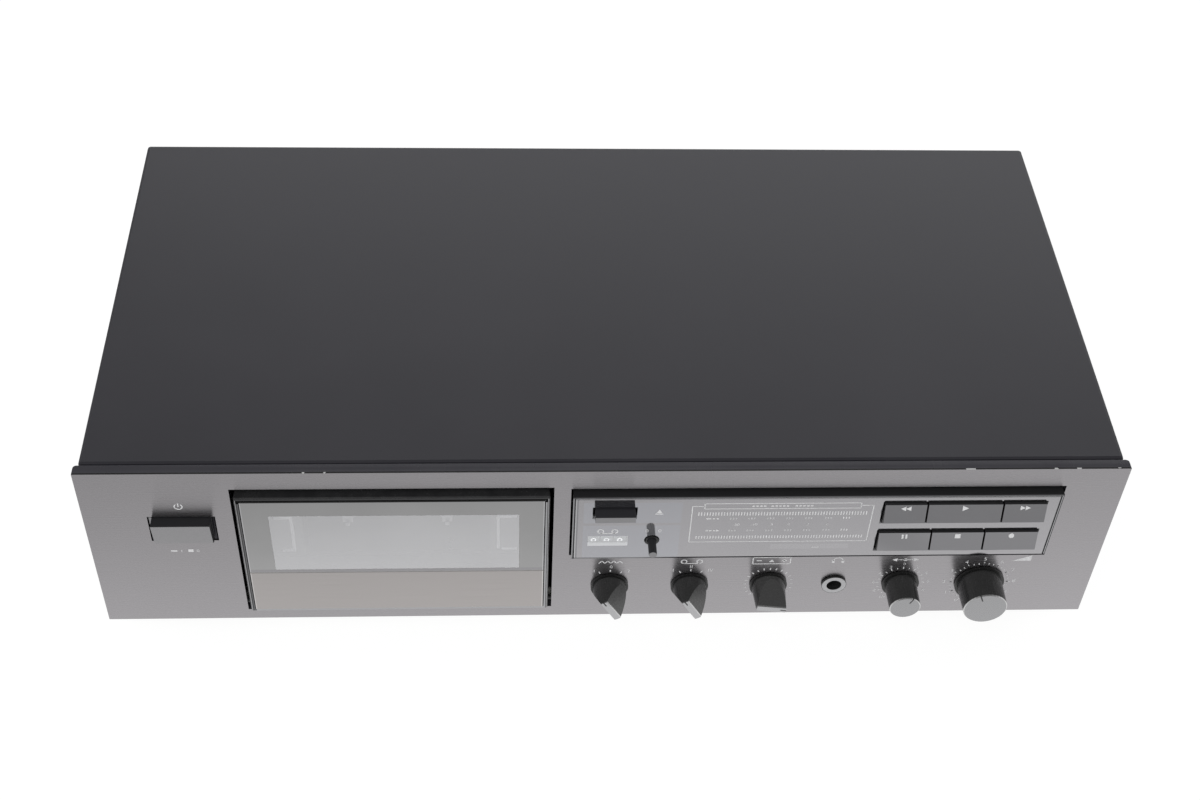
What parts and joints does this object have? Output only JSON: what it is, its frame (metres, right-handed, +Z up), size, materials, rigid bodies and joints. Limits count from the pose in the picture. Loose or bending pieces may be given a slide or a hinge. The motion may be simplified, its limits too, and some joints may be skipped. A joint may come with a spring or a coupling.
{
  "type": "cassette deck",
  "caption": "Full-width front-loading cassette deck with a bottom-hinged door, a control bezel with transport keys and counter, and a row of knobs.",
  "frame": {"origin": "centre of the bounding box on the ground, under the feet", "axes": "+X to the right of the front panel, +Y to the rear, +Z up; the front faces -Y"},
  "size_m": [0.434, 0.2366, 0.1098],
  "materials": {
    "case_paint": "satin black paint, slightly blue",
    "panel_metal": "grey anodised, brushed across",
    "zinc_sheet": "zinc-plated sheet",
    "foot_plastic": "moulded black",
    "door_plastic": "black moulding with thin grey rims",
    "door_glass": "smoked half-mirror pane",
    "black_plastic": "moulded black",
    "spindle_plastic": "moulded pale grey",
    "machined_steel": "turned and polished",
    "pulley_brass": "turned",
    "belt_rubber": "matte",
    "motor_can": "plated can",
    "core_steel": "varnished laminations",
    "bezel_plastic": "black moulding, its front metallised grey",
    "gloss_window": "glossy mirror-grey window",
    "meter_display": "dark display",
    "circuit_board": "lacquered laminate",
    "key_plastic": "black moulding, its front metallised grey",
    "counter_wheel": "pale grey with white figures",
    "knob_plastic": "black with metallic grey face"
  },
  "bodies": {
    "case": {"base_chassis": "zinc_sheet", "rear_panel": "case_paint", "top_cover": "case_paint", "front_panel": "panel_metal", "front_subframe": "zinc_sheet", "foot_front_left": "foot_plastic", "foot_front_right": "foot_plastic", "foot_rear_left": "foot_plastic", "foot_rear_right": "foot_plastic", "mechanism_plate": "zinc_sheet", "drive_belt": "belt_rubber", "capstan_motor": "motor_can", "reel_motor": "motor_can", "head_solenoid": "motor_can", "control_bezel": "bezel_plastic", "control_window": "gloss_window", "meter_unit": "meter_display", "control_board": "circuit_board", "power_switch": "black_plastic", "counter_frame": "black_plastic", "nr_switch": "motor_can", "tape_switch": "motor_can", "bias_pot": "motor_can", "balance_pot": "motor_can", "level_pot": "motor_can", "phones_jack": "black_plastic", "power_transformer": "core_steel", "main_board": "circuit_board", "smoothing_capacitor": "black_plastic", "line_jack_block": "black_plastic", "cord_gland": "black_plastic"},
    "door": {"door_frame": "door_plastic", "door_window": "door_glass", "door_plate": "panel_metal", "cassette_holder": "black_plastic"},
    "supply_reel": {"supply_spindle": "spindle_plastic"},
    "takeup_reel": {"takeup_spindle": "spindle_plastic"},
    "flywheel": {"capstan_flywheel": "machined_steel"},
    "pulley": {"motor_pulley": "pulley_brass"},
    "heads": {"head_base": "zinc_sheet", "tape_head": "machined_steel"},
    "pinch_lever": {"pinch_arm": "zinc_sheet"},
    "pinch_wheel": {"pinch_roller": "belt_rubber"},
    "rewind": {"key_rewind": "key_plastic"},
    "play": {"key_play": "key_plastic"},
    "forward": {"key_forward": "key_plastic"},
    "pause": {"key_pause": "key_plastic"},
    "stop": {"key_stop": "key_plastic"},
    "record": {"key_record": "key_plastic"},
    "eject": {"eject_button": "key_plastic"},
    "power": {"power_button": "panel_metal"},
    "reset": {"reset_button": "key_plastic"},
    "counter_hundreds": {"wheel_hundreds": "counter_wheel"},
    "counter_tens": {"wheel_tens": "counter_wheel"},
    "counter_units": {"wheel_units": "counter_wheel"},
    "nr_selector": {"nr_knob": "knob_plastic"},
    "tape_selector": {"tape_knob": "knob_plastic"},
    "bias_control": {"bias_knob": "knob_plastic"},
    "balance_control": {"balance_knob": "knob_plastic"},
    "level_control": {"level_knob": "knob_plastic"}
  },
  "joints": [
    {"name": "door_hinge", "type": "hinge", "parent": "case", "child": "door", "pos_m": [-0.0891, -0.10115, 0.0245], "axis": [1, 0, 0], "range_deg": [0, 22]},
    {"name": "supply_turn", "type": "hinge", "parent": "case", "child": "supply_reel", "pos_m": [-0.11035, -0.0796, 0.0652], "axis": [0, 1, 0], "continuous": true},
    {"name": "takeup_turn", "type": "hinge", "parent": "case", "child": "takeup_reel", "pos_m": [-0.06785, -0.0796, 0.0652], "axis": [0, 1, 0], "continuous": true},
    {"name": "capstan_turn", "type": "hinge", "parent": "case", "child": "flywheel", "pos_m": [-0.0671, -0.0796, 0.0369], "axis": [0, 1, 0], "continuous": true},
    {"name": "pulley_turn", "type": "hinge", "parent": "case", "child": "pulley", "pos_m": [-0.1261, -0.0504, 0.036], "axis": [0, 1, 0], "continuous": true},
    {"name": "head_lift", "type": "slide", "parent": "case", "child": "heads", "axis": [0, 0, 1], "range_m": [0, 0.005], "stiffness_N_per_m": 150},
    {"name": "pinch_swing", "type": "hinge", "parent": "case", "child": "pinch_lever", "pos_m": [-0.0515, -0.0816, 0.0235], "axis": [0, 1, 0], "range_deg": [0, 23]},
    {"name": "pinch_turn", "type": "hinge", "parent": "pinch_lever", "child": "pinch_wheel", "pos_m": [-0.0671, -0.0866, 0.0239], "axis": [0, 1, 0], "continuous": true},
    {"name": "rewind_press", "type": "slide", "parent": "case", "child": "rewind", "axis": [0, 1, 0], "range_m": [0, 0.0015], "stiffness_N_per_m": 600},
    {"name": "play_press", "type": "slide", "parent": "case", "child": "play", "axis": [0, 1, 0], "range_m": [0, 0.0015], "stiffness_N_per_m": 600},
    {"name": "forward_press", "type": "slide", "parent": "case", "child": "forward", "axis": [0, 1, 0], "range_m": [0, 0.0015], "stiffness_N_per_m": 600},
    {"name": "pause_press", "type": "slide", "parent": "case", "child": "pause", "axis": [0, 1, 0], "range_m": [0, 0.0015], "stiffness_N_per_m": 600},
    {"name": "stop_press", "type": "slide", "parent": "case", "child": "stop", "axis": [0, 1, 0], "range_m": [0, 0.0015], "stiffness_N_per_m": 600},
    {"name": "record_press", "type": "slide", "parent": "case", "child": "record", "axis": [0, 1, 0], "range_m": [0, 0.0015], "stiffness_N_per_m": 600},
    {"name": "eject_press", "type": "slide", "parent": "case", "child": "eject", "axis": [0, 1, 0], "range_m": [0, 0.003], "stiffness_N_per_m": 500},
    {"name": "power_press", "type": "slide", "parent": "case", "child": "power", "axis": [0, 1, 0], "range_m": [0, 0.004], "stiffness_N_per_m": 500},
    {"name": "reset_press", "type": "slide", "parent": "case", "child": "reset", "axis": [0, 1, 0], "range_m": [0, 0.003], "stiffness_N_per_m": 300},
    {"name": "hundreds_turn", "type": "hinge", "parent": "case", "child": "counter_hundreds", "pos_m": [-0.0054, -0.09875, 0.0678], "axis": [1, 0, 0], "continuous": true},
    {"name": "tens_turn", "type": "hinge", "parent": "case", "child": "counter_tens", "pos_m": [0.0002, -0.09875, 0.0678], "axis": [1, 0, 0], "continuous": true},
    {"name": "units_turn", "type": "hinge", "parent": "case", "child": "counter_units", "pos_m": [0.0058, -0.09875, 0.0678], "axis": [1, 0, 0], "continuous": true},
    {"name": "nr_select", "type": "hinge", "parent": "case", "child": "nr_selector", "pos_m": [0.0027, -0.103, 0.035], "axis": [0, 1, 0], "range_deg": [0, 60]},
    {"name": "tape_select", "type": "hinge", "parent": "case", "child": "tape_selector", "pos_m": [0.0379, -0.103, 0.035], "axis": [0, 1, 0], "range_deg": [0, 60]},
    {"name": "bias_adjust", "type": "hinge", "parent": "case", "child": "bias_control", "pos_m": [0.0728, -0.103, 0.035], "axis": [0, 1, 0], "range_deg": [-248, 52]},
    {"name": "balance_adjust", "type": "hinge", "parent": "case", "child": "balance_control", "pos_m": [0.1317, -0.103, 0.035], "axis": [0, 1, 0], "range_deg": [-175, 125]},
    {"name": "level_adjust", "type": "hinge", "parent": "case", "child": "level_control", "pos_m": [0.1671, -0.103, 0.035], "axis": [0, 1, 0], "range_deg": [-128, 172]}
  ],
  "couplings": [
    {"joint": "pulley_turn", "follows": "capstan_turn", "ratio": 4.375},
    {"joint": "pinch_swing", "follows": "head_lift", "rad_per_m": 80},
    {"joint": "units_turn", "follows": "takeup_turn", "ratio": 0.05},
    {"joint": "tens_turn", "follows": "takeup_turn", "ratio": 0.005},
    {"joint": "hundreds_turn", "follows": "takeup_turn", "ratio": 0.0005}
  ]
}
